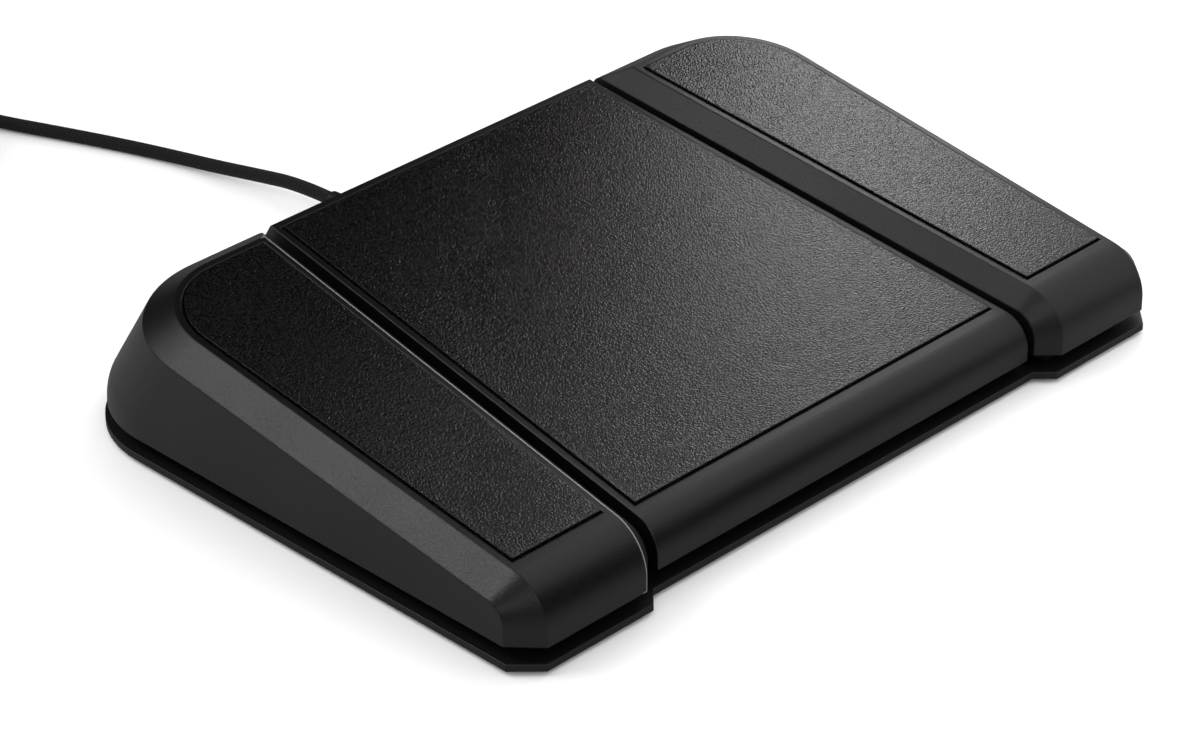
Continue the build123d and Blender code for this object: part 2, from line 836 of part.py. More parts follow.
def plug_c_shell():
    y = socket_mouth - socket_length + socket_back + plug_end_clearance
    length = socket_mouth + plug_gap - y
    outer = stadium_bar(plug_shell_width, plug_shell_height, length, y, socket_z)
    inner = stadium_bar(plug_shell_width - 2 * plug_shell_wall, plug_shell_height - 2 * plug_shell_wall,
                        length + 2 * overrun, y - overrun, socket_z)
    return outer.cut(inner)


def plug_c_body():
    place = (0, socket_mouth + plug_gap, socket_z)
    return rounded_bar(plug_width, plug_height, plug_length, plug_round, place)


def strain_relief():
    y = socket_mouth + plug_gap + plug_length
    plane = Plane(origin=(0, y, socket_z), z_dir=(0, 1, 0))
    return Solid.make_cone(relief_start / 2, relief_end / 2, relief_length, plane)


# Lead and coil

def tube(points, diameter, start_direction, name):
    # Straight runs joined by the largest arcs that two runs allow.
    radii = []
    for a, b, c in zip(points, points[1:], points[2:]):
        into = Vector(*b) - Vector(*a)
        out = Vector(*c) - Vector(*b)
        turn = radians(into.get_angle(out))
        radii.append(bend_share * min(into.length, out.length) / tan(turn / 2))
    line = FilletPolyline(*points, radius=radii)
    plane = Plane(origin=line @ 0, z_dir=start_direction)
    solid = sweep(plane * Circle(diameter / 2), path=line).solid()
    print(name, "least radius", round(min(radii), 1), "length", round(line.length, 1),
          "volume share", round(solid.volume / (line.length * pi * diameter ** 2 / 4), 4))
    return solid, line.length


def coil_turn_count():
    return coil_turns + (coil_end_angle - coil_start_angle) / 360


def coil_point(turn):
    # The coil's centre line: in and out at a steady rate, one layer up in each half turn
    # around a reversal.
    turns = coil_turn_count()
    leg = turns / coil_layers
    low = coil_lift + cord_diameter / 2
    angle = radians(coil_start_angle) + 2 * pi * turn
    phase = turn / leg
    index = min(int(phase), coil_layers - 1)
    along = phase - index
    inward = along if index % 2 == 0 else 1 - along
    radius = coil_radius - coil_pitch * leg * inward
    height = low
    for step in range(1, coil_layers):
        t = min(max((turn - step * leg) * 2 + 1 / 2, 0), 1)
        height += coil_pitch * t * t * (3 - 2 * t)
    return Vector(coil_x + radius * cos(angle), coil_y + radius * sin(angle), height)


def coil_direction(turn):
    step = 1e-4
    ends = min(max(turn, step), coil_turn_count() - step)
    return (coil_point(ends + step) - coil_point(ends - step)).normalized()


def biarc(p0, t0, p1, t1):
    # Two arcs that leave p0 along t0 and reach p1 along t1.
    v = p1 - p0
    t = t0 + t1
    a = 2 * (1 - t0.dot(t1))
    b = v.dot(t)
    d = v.dot(v) / (2 * b) if a < 1e-9 else (sqrt(b * b + a * v.dot(v)) - b) / a
    mid = (p0 + p1 + (t0 - t1) * d) * 0.5
    first = Edge.make_tangent_arc(p0, t0, mid)
    second = Edge.make_tangent_arc(mid, first % 1, p1)
    return [first, second]


def least_gap(line, diameter, samples):
    # Least distance between parts of a tube that lie more than two diameters apart along it.
    points = [line.position_at(i / samples) for i in range(samples + 1)]
    skip = int(ceil(3 * diameter * samples / line.length))
    cells = {}
    for i, p in enumerate(points):
        cells.setdefault((int(p.X // (2 * diameter)), int(p.Y // (2 * diameter))), []).append(i)
    least = line.length
    for (cx, cy), group in cells.items():
        near = [j for dx in (-1, 0, 1) for dy in (-1, 0, 1) for j in cells.get((cx + dx, cy + dy), [])]
        for i in group:
            for j in near:
                if j - i > skip:
                    least = min(least, (points[i] - points[j]).length)
    return least - diameter


def cord_coil():
    turns = coil_turn_count()
    steps = int(round(turns * 4))
    marks = [turns * i / steps for i in range(steps + 1)]
    points = [coil_point(m) for m in marks]
    ways = [coil_direction(m) for m in marks]
    lead_in = points[0] - ways[0] * cord_diameter
    lead_out = points[-1] + ways[-1] * cord_diameter
    edges = [Edge.make_line(lead_in, points[0])]
    for i in range(steps):
        edges += biarc(points[i], ways[i], points[i + 1], ways[i + 1])
    edges.append(Edge.make_line(points[-1], lead_out))
    line = Wire(edges)
    plane = Plane(origin=lead_in, z_dir=ways[0])
    solid = sweep(plane * Circle(cord_diameter / 2), path=line).solid()
    gap = least_gap(line, cord_diameter, gap_samples)
    print("coil length", round(line.length, 1), "least gap", round(gap, 3),
          "volume share", round(solid.volume / (line.length * pi * cord_diameter ** 2 / 4), 4))
    return solid, line.length


def coil_tie():
    # A strap round the coil's bundle of turns.
    leg = coil_turn_count() / coil_layers
    r_in = coil_radius - coil_pitch * leg - cord_diameter / 2 - tie_gap
    r_out = coil_radius + cord_diameter / 2 + tie_gap
    z_in = coil_lift - tie_gap
    z_out = coil_lift + cord_diameter + coil_pitch * (coil_layers - 1) + tie_gap
    wall = tie_thickness
    outer = box(r_in - wall, r_out + wall, -tie_width / 2, tie_width / 2, z_in - wall, z_out + wall)
    inner = box(r_in, r_out, -tie_width, tie_width, z_in, z_out)
    return outer.cut(inner).rotate(Axis.Z, tie_angle).moved(Location((coil_x, coil_y, 0)))


def usb_a_place():
    x, y, z = tail_route[-1]
    return x, y - usb_a_body_length, z


def usb_a_body():
    x, y, z = usb_a_place()
    return rounded_bar(usb_a_body_width, usb_a_body_height, usb_a_body_length, usb_a_body_round,
                       (x, y, z))


def usb_a_shell():
    x, y, z = usb_a_place()
    half = usb_a_shell_width / 2
    high = usb_a_shell_height / 2
    wall = usb_a_shell_wall
    outer = box(x - half, x + half, y - usb_a_shell_length, y, z - high, z + high)
    inner = box(x - half + wall, x + half - wall, y - usb_a_shell_length - overrun, y,
                z - high + wall, z + high - wall)
    return outer.cut(inner)


def usb_a_insert():
    x, y, z = usb_a_place()
    half = usb_a_shell_width / 2 - usb_a_shell_wall - usb_a_insert_gap
    top = z + usb_a_shell_height / 2 - usb_a_shell_wall - usb_a_insert_gap
    return box(x - half, x + half, y - usb_a_shell_length + plug_gap, y, top - usb_a_insert_thickness, top)


# Build and write every piece

def mirrored(solid):
    return solid.mirror(Plane.YZ)


def write(name, shape):
    export_step(shape, "parts/" + name + ".step")
    print(name, round(shape.volume), shape.is_valid)


def write_pair(name, solid):
    write("left_" + name, solid)
    write("right_" + name, mirrored(solid))


write("base_plate", base_plate())
foot_x = plate_width / 2 - foot_edge_inset
foot_front = front + foot_edge_inset
foot_back = back - foot_edge_inset
for row, y in (("front", foot_front), ("back", foot_back)):
    for column, x in (("left", -foot_x), ("middle", 0), ("right", foot_x)):
        write("foot_" + row + "_" + column, foot(x, y))
write("base_screws", Compound(children=[screw(x, y) for x, y in all_screw_places()]))
board_screws = [board_screw(x, y) for x, y in board_screw_places(True) + board_screw_places(False)]
board_screws += [board_screw(-x, y) for x, y in board_screw_places(True)]
write("board_screws", Compound(children=board_screws))

write_pair("frame", frame(True))
write("middle_frame", frame(False))
x0 = -side_pin_middle - side_pin_length / 2
x1 = -side_pin_middle + side_pin_length / 2
write_pair("hinge_pin", rod(x0, x1, hinge_y, hinge_height, pin_diameter))
x1 = middle_pin_length / 2
write("middle_hinge_pin", rod(-x1, x1, hinge_y, hinge_height, pin_diameter))
write_pair("return_spring", return_spring(True))
write("middle_return_spring", return_spring(False))
write_pair("down_stop", post(-side_middle, stop_y, floor_top, floor_top + stop_height, stop_diameter))
write("middle_down_stop", post(0, stop_y, floor_top, floor_top + stop_height, stop_diameter))
write_pair("switch_board", board(True))
write("main_board", board(False))
write("controller_chip", chip())
write_pair("switch_body", switch_body(-side_middle))
write("middle_switch_body", switch_body(0))
write_pair("switch_plunger", plunger(-side_middle))
write("middle_switch_plunger", plunger(0))
write("left_flat_lead", flat_lead(-1))
write("right_flat_lead", flat_lead(1))
write_pair("pedal_shell", pedal_shell(True))
write("middle_pedal_shell", pedal_shell(False))
write_pair("pedal_pad", pedal_pad(True))
write("middle_pedal_pad", pedal_pad(False))
write("usb_socket_shell", socket_shell())
write("usb_socket_tongue", socket_tongue())
write("usb_c_plug_shell", plug_c_shell())
write("usb_c_plug_body", plug_c_body())
write("cable_strain_relief", strain_relief())
run, run_length = tube(cord_route, cord_diameter, (0, 1, 0), "cable run")
write("cable_run", run)
tail, tail_length = tube(tail_route, cord_diameter,
                         Vector(*tail_route[1]) - Vector(*tail_route[0]), "cable tail")
write("cable_tail", tail)
coil, coil_length = cord_coil()
write("cable_coil", coil)
print("cord length", round(run_length + coil_length + tail_length, 1), "wanted", cord_length)
write("cable_tie", coil_tie())
write("usb_a_plug_body", usb_a_body())
write("usb_a_plug_shell", usb_a_shell())
write("usb_a_plug_insert", usb_a_insert())
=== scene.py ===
import bpy
import numpy as np
from math import pi, radians
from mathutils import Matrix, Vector

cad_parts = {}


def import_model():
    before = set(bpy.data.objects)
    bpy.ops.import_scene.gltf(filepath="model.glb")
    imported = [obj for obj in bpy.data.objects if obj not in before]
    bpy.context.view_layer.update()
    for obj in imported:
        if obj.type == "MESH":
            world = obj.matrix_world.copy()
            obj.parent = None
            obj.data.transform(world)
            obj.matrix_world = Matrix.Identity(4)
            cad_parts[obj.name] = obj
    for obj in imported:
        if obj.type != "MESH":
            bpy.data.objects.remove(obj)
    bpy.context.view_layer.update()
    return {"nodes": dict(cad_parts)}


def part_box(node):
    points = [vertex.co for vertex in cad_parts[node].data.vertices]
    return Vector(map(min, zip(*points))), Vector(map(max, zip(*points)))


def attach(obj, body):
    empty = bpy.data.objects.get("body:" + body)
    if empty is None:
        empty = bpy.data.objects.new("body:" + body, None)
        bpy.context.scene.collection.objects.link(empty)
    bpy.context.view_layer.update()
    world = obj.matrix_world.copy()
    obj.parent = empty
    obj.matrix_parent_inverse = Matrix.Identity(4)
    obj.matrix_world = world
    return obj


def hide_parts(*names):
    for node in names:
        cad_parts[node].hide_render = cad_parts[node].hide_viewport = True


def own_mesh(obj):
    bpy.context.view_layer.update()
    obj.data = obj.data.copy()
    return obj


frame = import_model()

# Lengths are in metres, but where a name ends in _MM they are in millimetres.
MM_A_METRE = 1000.0

# The camera stands where the photograph was taken from, fitted to the plate's and
# pads' corners.
CAMERA_PLACE = (-0.7183, -0.7008, 0.5968)
CAMERA_WAY = (0.6131, 0.6034, -0.5100)
CAMERA_LENS_MM = 128.67
CAMERA_SENSOR_MM = 36.0
CAMERA_SEES_TO = 50.0

# The lead's line. The route out of the plug and the tail to the far plug are the same
# points as in its solid, and between them is a neat coil of 12 turns in 4 layers,
# lifted off the floor by its tie. The solid is CORD_DIAMETER thick. The coil starts and
# ends at an angle in degrees.
CORD_ROUTE_MM = [
    (0.0, 114.0, 9.53),
    (0.3, 128.5, 8.9),
    (-0.4, 146.0, 5.6),
    (-2.6, 163.0, 3.1),
    (-6.9, 180.0, 2.3),
    (-13.2, 197.0, 2.25),
    (-20.6, 214.5, 2.25),
    (-28.6, 231.5, 2.5),
    (-35.6, 248.5, 3.4),
    (-42.26, 258.8, 3.45),
]
TAIL_ROUTE_MM = [
    (-84.67, 281.83, 18.45),
    (-95.9, 280.1, 18.4),
    (-109.5, 271.0, 16.6),
    (-119.5, 257.0, 12.0),
    (-124.3, 241.0, 7.0),
    (-125.2, 226.0, 4.4),
    (-125.2, 213.0, 4.0),
]
CORD_DIAMETER = 0.0045
COIL_CENTRE = (-0.0745, 0.250)
COIL_RADIUS = 0.033
COIL_PITCH = 0.005
COIL_START = 23.0
COIL_END = 100.0
COIL_TURNS = 12
COIL_LAYERS = 4
COIL_LIFT = 0.0012
COIL_LOW = COIL_LIFT + CORD_DIAMETER / 2
COIL_POINTS_A_TURN = 32

# The lead as it looks: 4.0 mm thick, as it measures in the photograph.
LEAD_DIAMETER = 0.0040
LEAD_STEP = 0.0016
LEAD_SIDES = 24
LINE_POINTS_A_SPAN = 8

# The braided sleeve has this many strands each way, and along the lead one strand
# follows the next by BRAID_REPEAT. A real sleeve has about 16 strands each way, 0.6 mm
# apart. They are too fine to show, so they are drawn twice as coarse.
BRAID_STRANDS = 8
BRAID_REPEAT = 0.0013

# The return springs, of 1.2 mm wire.
SPRING_WIRE = 0.0012
SPRING_TURNS = 6
SPRING_POINTS_A_TURN = 32
SPRING_SIDES = 12


# Materials
#
# A grain is given by one cell of its noise. A bump with the hollow beside it takes two
# cells, so it measures twice as much.

WEAR_CELL_MM = 55.556
PAD_CELL_MM = 0.55556
PAD_BUMP_MM = 0.24
PAD_SOFT_EDGE = 0.0004
METAL_CELL_MM = 1.1111
BRAID_BUMP_MM = 0.18
BEVEL_SAMPLES = 6

# A piece's edge turns its softened normal away from the flat one. Where the two normals'
# dot product falls from the first number to the second, the edge is painted paler, as a
# painted highlight, and made smoother.
EDGE_MASK_START, EDGE_MASK_FULL = 0.93, 0.75
# The colour of that painted edge highlight, and how far the edge's roughness drops.
PAINTED_EDGE_HIGHLIGHT = "2c2c2d"
WORN_POLISH = 0.2

# The gap between the left and the middle pedal runs along x + GAP_SLANT y = GAP_LINE.
# The ridges within GAP_REACH of that line get a pale painted highlight line.
GAP_SLANT = -0.0701
GAP_LINE = -0.0744
GAP_REACH = 0.0014
RIDGE_HIGHLIGHT_START, RIDGE_HIGHLIGHT_FULL = 0.998, 0.96
# The colour of that painted highlight line.
PAINTED_RIDGE_HIGHLIGHT = "a8a8aa"


def linear(hex_colour):
    """An sRGB hex colour as linear RGBA."""
    parts = [int(hex_colour[i:i + 2], 16) / 255 for i in (0, 2, 4)]
    return [c / 12.92 if c <= 0.04045 else ((c + 0.055) / 1.055) ** 2.4 for c in parts] + [1.0]


def fill(tree, node, inputs):
    """Links a node's inputs to sockets, or sets them to values."""
    for name, value in inputs.items():
        if isinstance(value, bpy.types.NodeSocket):
            tree.links.new(value, node.inputs[name])
        else:
            node.inputs[name].default_value = value


def add(tree, kind, inputs=None, **settings):
    """Adds a node, sets its properties, and fills its inputs."""
    node = tree.nodes.new(kind)
    for name, value in settings.items():
        setattr(node, name, value)
    fill(tree, node, inputs or {})
    return node


def blank(name):
    """A new material that has only its shader, with its tree and that shader."""
    material = bpy.data.materials.new(name)
    material.use_nodes = True
    tree = material.node_tree
    return material, tree, tree.nodes["Principled BSDF"]


def ridge_highlight_mask(tree, place, turned):
    """1 on the ridges along the slanting gap left of the middle pedal, where a pale highlight
    line is painted: abs(x + GAP_SLANT y - GAP_LINE) < GAP_REACH, times how far the ridge turns."""
    axes = add(tree, "ShaderNodeSeparateXYZ", {"Vector": place})
    across = add(tree, "ShaderNodeMath",
                 {0: axes.outputs["Y"], 1: GAP_SLANT, 2: axes.outputs["X"]},
                 operation="MULTIPLY_ADD")
    near = add(tree, "ShaderNodeMath", {0: across.outputs[0], 1: GAP_LINE, 2: GAP_REACH},
               operation="COMPARE")
    ridge = add(tree, "ShaderNodeMapRange", {"Value": turned, "From Min": RIDGE_HIGHLIGHT_START,
                                             "From Max": RIDGE_HIGHLIGHT_FULL,
                                             "To Min": 0.0, "To Max": 1.0})
    return add(tree, "ShaderNodeMath", {0: near.outputs[0], 1: ridge.outputs["Result"]},
               operation="MULTIPLY").outputs[0]


def grained(name, colour, roughness, grain_mm, depth_mm, spread=0.06, edge=0.0, paint_ridge_highlight=False):
    """Moulded or coated surface: a fine grain in it, of cells grain_mm wide and bumps
    depth_mm high, and a gloss that is uneven over the grain and over WEAR_CELL_MM. Where
    edge is above zero, edges catch the light as if rounded to it, are painted paler as a
    highlight and are made smoother. Where asked, a pale highlight line is also painted on
    the ridges by the gap left of the middle pedal."""
    material, tree, shader = blank(name)
    place = add(tree, "ShaderNodeTexCoord").outputs["Object"]
    grain = add(tree, "ShaderNodeTexNoise", {"Vector": place, "Scale": MM_A_METRE / grain_mm,
                                             "Detail": 3.0, "Roughness": 0.6})
    bump = add(tree, "ShaderNodeBump", {"Height": grain.outputs["Fac"], "Strength": 0.5,
                                        "Distance": depth_mm / MM_A_METRE})
    tone = linear(colour)
    edge_highlight_and_polish = 0.0
    if edge:
        soft = add(tree, "ShaderNodeBevel", {"Radius": edge}, samples=BEVEL_SAMPLES)
        tree.links.new(soft.outputs["Normal"], bump.inputs["Normal"])
        flat = add(tree, "ShaderNodeNewGeometry").outputs["True Normal"]
        turned = add(tree, "ShaderNodeVectorMath", {0: soft.outputs["Normal"], 1: flat},
                     operation="DOT_PRODUCT").outputs["Value"]
        # Painted highlight: the colour goes towards a paler grey where the softened normal turns
        # away at an edge; the same mask makes the edge smoother.
        edge_highlight_and_polish = add(tree, "ShaderNodeMapRange", {"Value": turned, "From Min": EDGE_MASK_START,
                                                   "From Max": EDGE_MASK_FULL, "To Min": 0.0,
                                                   "To Max": 1.0}).outputs["Result"]
        tone = add(tree, "ShaderNodeMix", {"Factor": edge_highlight_and_polish, "A": tone,
                                           "B": linear(PAINTED_EDGE_HIGHLIGHT)},
                   data_type="RGBA").outputs["Result"]
        # Painted highlight: a pale line on the ridges by the gap left of the middle pedal.
        if paint_ridge_highlight:
            line = ridge_highlight_mask(tree, place, turned)
            tone = add(tree, "ShaderNodeMix", {"Factor": line, "A": tone,
                                               "B": linear(PAINTED_RIDGE_HIGHLIGHT)},
                       data_type="RGBA").outputs["Result"]
    wear = add(tree, "ShaderNodeTexNoise", {"Vector": place,
                                            "Scale": MM_A_METRE / WEAR_CELL_MM,
                                            "Detail": 2.0})
    both = add(tree, "ShaderNodeMath", {0: wear.outputs["Fac"], 1: grain.outputs["Fac"]},
               operation="ADD")
    # The two noises add up to between 0.6 and 1.4 over most of the surface.
    gloss = add(tree, "ShaderNodeMapRange", {"Value": both.outputs[0], "From Min": 0.6,
                                             "From Max": 1.4, "To Min": roughness - spread,
                                             "To Max": roughness + spread})
    polish = add(tree, "ShaderNodeMath", {0: edge_highlight_and_polish, 1: -WORN_POLISH,
                                          2: gloss.outputs["Result"]},
                 operation="MULTIPLY_ADD")
    fill(tree, shader, {"Base Color": tone, "Specular IOR Level": 0.5,
                        "Roughness": polish.outputs[0], "Normal": bump.outputs["Normal"]})
    return material


def pad_rubber():
    """Grained rubber: closely set bumps that each catch the light, with painted shade in
    their hollows and a painted highlight on their tops. The real grain is about 0.5 mm from
    bump to bump. It is too fine to show in the render, so it is drawn at 1.1 mm, as coarse
    as it needs to be. Rubber usually has a roughness near 0.6, and 0.22 matches the shine of
    these pads."""
    material, tree, shader = blank("moulded_grained_rubber")
    place = add(tree, "ShaderNodeTexCoord").outputs["Object"]
    grain = add(tree, "ShaderNodeTexNoise", {"Vector": place,
                                             "Scale": MM_A_METRE / PAD_CELL_MM,
                                             "Detail": 1.0, "Roughness": 0.5})
    soft = add(tree, "ShaderNodeBevel", {"Radius": PAD_SOFT_EDGE}, samples=BEVEL_SAMPLES)
    bump = add(tree, "ShaderNodeBump", {"Height": grain.outputs["Fac"], "Strength": 1.0,
                                        "Distance": PAD_BUMP_MM / MM_A_METRE,
                                        "Normal": soft.outputs["Normal"]})
    # The noise is 0.4 in most hollows and 0.65 on most bumps.
    # Painted shade and highlight: the colour goes from near black in the hollows to dark grey on
    # the bumps.
    painted_grain_light = add(tree, "ShaderNodeMapRange", {"Value": grain.outputs["Fac"], "From Min": 0.4,
                                             "From Max": 0.65})
    colour = add(tree, "ShaderNodeMix", {"Factor": painted_grain_light.outputs["Result"],
                                         "A": linear("010101"), "B": linear("131313")},
                 data_type="RGBA")
    fill(tree, shader, {"Base Color": colour.outputs["Result"], "Roughness": 0.22,
                        "Specular IOR Level": 0.5, "Normal": bump.outputs["Normal"]})
    return material


def braid_sleeve():
    """Braided textile sleeve: two sets of round strands that cross, the higher one on
    top, sin 2 pi (v + u) and sin 2 pi (v - u) on the lead's own UV. The hollows between
    the strands are painted darker, as painted shade, and loose fibres give a faint sheen."""
    material, tree, shader = blank("braided_polyester")
    uv = add(tree, "ShaderNodeUVMap", uv_map="braid").outputs["UV"]
    axes = add(tree, "ShaderNodeSeparateXYZ", {"Vector": uv})
    heights = []
    for way in (1.0, -1.0):
        lean = add(tree, "ShaderNodeMath", {0: axes.outputs["X"], 1: way}, operation="MULTIPLY")
        both = add(tree, "ShaderNodeMath", {0: axes.outputs["Y"], 1: lean.outputs[0]},
                   operation="ADD")
        turn = add(tree, "ShaderNodeMath", {0: both.outputs[0], 1: 2 * pi}, operation="MULTIPLY")
        wave = add(tree, "ShaderNodeMath", {0: turn.outputs[0]}, operation="SINE")
        heights.append(wave.outputs[0])
    strands = add(tree, "ShaderNodeMath", {0: heights[0], 1: heights[1]},
                  operation="MAXIMUM").outputs[0]
    bump = add(tree, "ShaderNodeBump", {"Height": strands, "Strength": 0.8,
                                        "Distance": BRAID_BUMP_MM / MM_A_METRE})
    # Painted shade: the colour is darker in the hollows between the strands.
    shade = add(tree, "ShaderNodeMapRange", {"Value": strands, "From Min": -1.0,
                                             "From Max": 1.0})
    colour = add(tree, "ShaderNodeMix", {"Factor": shade.outputs["Result"],
                                         "A": linear("000000"), "B": linear("121213")},
                 data_type="RGBA")
    fill(tree, shader, {"Base Color": colour.outputs["Result"], "Roughness": 0.6,
                        "Specular IOR Level": 0.3, "Sheen Weight": 0.04,
                        "Normal": bump.outputs["Normal"]})
    return material


def metal(name, colour, roughness, spread=0.08):
    """Drawn or plated metal: a plain bright gloss, slightly clouded over METAL_CELL_MM
    by handling."""
    material, tree, shader = blank(name)
    place = add(tree, "ShaderNodeTexCoord").outputs["Object"]
    clouds = add(tree, "ShaderNodeTexNoise", {"Vector": place,
                                              "Scale": MM_A_METRE / METAL_CELL_MM,
                                              "Detail": 1.0})
    gloss = add(tree, "ShaderNodeMapRange", {"Value": clouds.outputs["Fac"],
                                             "To Min": roughness - spread,
                                             "To Max": roughness + spread})
    fill(tree, shader, {"Base Color": linear(colour), "Metallic": 1.0,
                        "Roughness": gloss.outputs["Result"]})
    return material


# Each grained surface has its name, colour, roughness, and its grain's cell and bump in
# millimetres. Each metal has its name, colour and roughness.
MATERIALS = {
    # Injection-moulded ABS from a spark-eroded mould, whose texture of 0.1 to 0.3 mm is
    # drawn at 1.2 mm to show: a satin black that goes grey towards the light, with rounded
    # edges that are painted paler as a highlight and made smoother, and a painted highlight
    # line along the ridges by the gap left of the middle pedal.
    "shell": grained("moulded_abs", "080808", 0.4, 0.6, 0.10, spread=0.08, edge=0.0007,
                     paint_ridge_highlight=True),
    # Moulded rubber with a leathery grain: deep black with a fine sparkle from its bumps and from
    # the painted shade and highlight on them.
    "pad": pad_rubber(),
    # Powder-coated sheet steel, whose orange peel is about 1.2 mm: an even, dull black
    # with soft edges, painted paler as a highlight and made smoother.
    "plate": grained("powder_coated_steel", "0b0b0b", 0.5, 0.6, 0.05, edge=0.0004),
    # Moulded glass-filled nylon of the trays: matt black.
    "frame": grained("moulded_glass_nylon", "0c0c0d", 0.6, 0.7, 0.04),
    # Moulded rubber feet and stops: the dullest black of all.
    "foot": grained("moulded_rubber", "0e0e0f", 0.75, 0.8, 0.05),
    # Solder mask, sprayed on a glass-fibre board: a glossy green, slightly uneven.
    "board": grained("sprayed_solder_mask", "0f4a26", 0.3, 0.9, 0.02),
    # Moulded epoxy of chips and switches: black with a fine, even tooth.
    "chip": grained("moulded_epoxy", "0d0d0e", 0.5, 0.3, 0.02),
    # Moulded acetal of the switches' buttons: a waxy red.
    "plunger": grained("moulded_red_acetal", "a01812", 0.35, 0.5, 0.01),
    # Extruded PVC of the flat leads: a plain satin grey.
    "flat_lead": grained("extruded_grey_pvc", "8c8c8e", 0.5, 0.5, 0.02),
    # PVC moulded over the plugs and the strain relief: a soft, lightly etched black.
    "plug": grained("moulded_black_pvc", "111113", 0.55, 0.5, 0.04),
    # Moulded nylon in the far plug: a plain, slightly waxy white.
    "insert": grained("moulded_white_nylon", "d8d8d2", 0.45, 0.5, 0.01),
    # Zinc-plated screws, ground pins and drawn spring wire: bright and nearly smooth.
    "steel": metal("drawn_bright_steel", "b8babd", 0.3),
    # Nickel-plated sheet of the plugs and the socket: a paler metal with a softer gloss.
    "nickel": metal("nickel_plated_sheet", "c4c5c8", 0.38),
    # Polyester braided over the lead: matt black with a regular weave.
    "braid": braid_sleeve(),
}

# The material that a node's real piece has, by the end of its name. The feet have none
# of these endings.
MATERIAL_BY_ENDING = (
    ("pedal_shell", "shell"), ("pedal_pad", "pad"), ("base_plate", "plate"),
    ("_frame", "frame"), ("down_stop", "foot"), ("_board", "board"), ("chip", "chip"),
    ("switch_body", "chip"), ("plunger", "plunger"), ("flat_lead", "flat_lead"),
    ("socket_shell", "nickel"), ("c_plug_shell", "nickel"), ("a_plug_shell", "nickel"),
    ("plug_insert", "insert"), ("tongue", "chip"), ("plug_body", "plug"),
    ("strain_relief", "plug"), ("cable_tie", "plug"), ("screws", "steel"),
    ("pin", "steel"), ("spring", "steel"),
)


def material_of(node):
    """The material of a node."""
    for ending, name in MATERIAL_BY_ENDING:
        if node.endswith(ending):
            return MATERIALS[name]
    return MATERIALS["foot"]


def paint(obj, material):
    """Gives a new piece its one material."""
    obj.data.materials.clear()
    obj.data.materials.append(material)


for name, obj in frame["nodes"].items():
    for slot in obj.material_slots:
        slot.material = material_of(name)


# The lead

def coil_points():
    """Centre line of the coil: its radius falls over one layer and rises over the next
    at a steady rate, and z climbs a layer by 3t^2 - 2t^3 in the half turn round each
    reversal."""
    turns = COIL_TURNS + (COIL_END - COIL_START) / 360
    leg = turns / COIL_LAYERS
    count = int(round(turns * COIL_POINTS_A_TURN))
    turn = turns * np.arange(count + 1) / count
    angle = radians(COIL_START) + 2 * pi * turn
    layer = np.minimum((turn / leg).astype(int), COIL_LAYERS - 1)
    along = turn / leg - layer
    inward = np.where(layer % 2 == 0, along, 1 - along)
    radius = COIL_RADIUS - COIL_PITCH * leg * inward
    z = np.full(count + 1, COIL_LOW)
    for step in range(1, COIL_LAYERS):
        t = np.clip((turn - step * leg) * 2 + 0.5, 0, 1)
        z += COIL_PITCH * t * t * (3 - 2 * t)
    x = COIL_CENTRE[0] + radius * np.cos(angle)
    y = COIL_CENTRE[1] + radius * np.sin(angle)
    return np.stack([x, y, z], 1).tolist()


def spline_points(route):
    """Points of the smooth line that has the route as its control points."""
    curve = bpy.data.curves.new("cord_line", "CURVE")
    curve.dimensions = "3D"
    curve.resolution_u = LINE_POINTS_A_SPAN
    spline = curve.splines.new("NURBS")
    spline.points.add(len(route) - 1)
    for point, place in zip(spline.points, route):
        point.co = (*place, 1.0)
    spline.order_u = 3
    spline.use_endpoint_u = True
    obj = bpy.data.objects.new("cord_line", curve)
    mesh = bpy.data.meshes.new_from_object(obj)
    line = np.empty(len(mesh.vertices) * 3)
    mesh.vertices.foreach_get("co", line)
    bpy.data.objects.remove(obj)
    bpy.data.meshes.remove(mesh)
    return line.reshape(-1, 3)


def metres(route_mm):
    """A route given in millimetres, in metres."""
    return [tuple(c / MM_A_METRE for c in point) for point in route_mm]


def even_line(points, step):
    """The same line with points a step apart, and how far along it each one is."""
    run = np.concatenate([[0], np.cumsum(np.linalg.norm(np.diff(points, axis=0), axis=1))])
    count = int(run[-1] / step)
    along = np.linspace(0, run[-1], count + 1)
    return np.stack([np.interp(along, run, points[:, k]) for k in range(3)], 1), along


def frames_along(line):
    """Two unit ways square to a line at each of its points. The first is carried along
    it without twist: each is the last one, less its part along the line."""
    ways = np.gradient(line, axis=0)
    ways /= np.linalg.norm(ways, axis=1)[:, None]
    up = np.empty_like(ways)
    last = np.array([0, 0, 1.0])
    for i, way in enumerate(ways):
        last = last - way * (last @ way)
        last /= np.linalg.norm(last)
        up[i] = last
    return up, np.cross(ways, up)


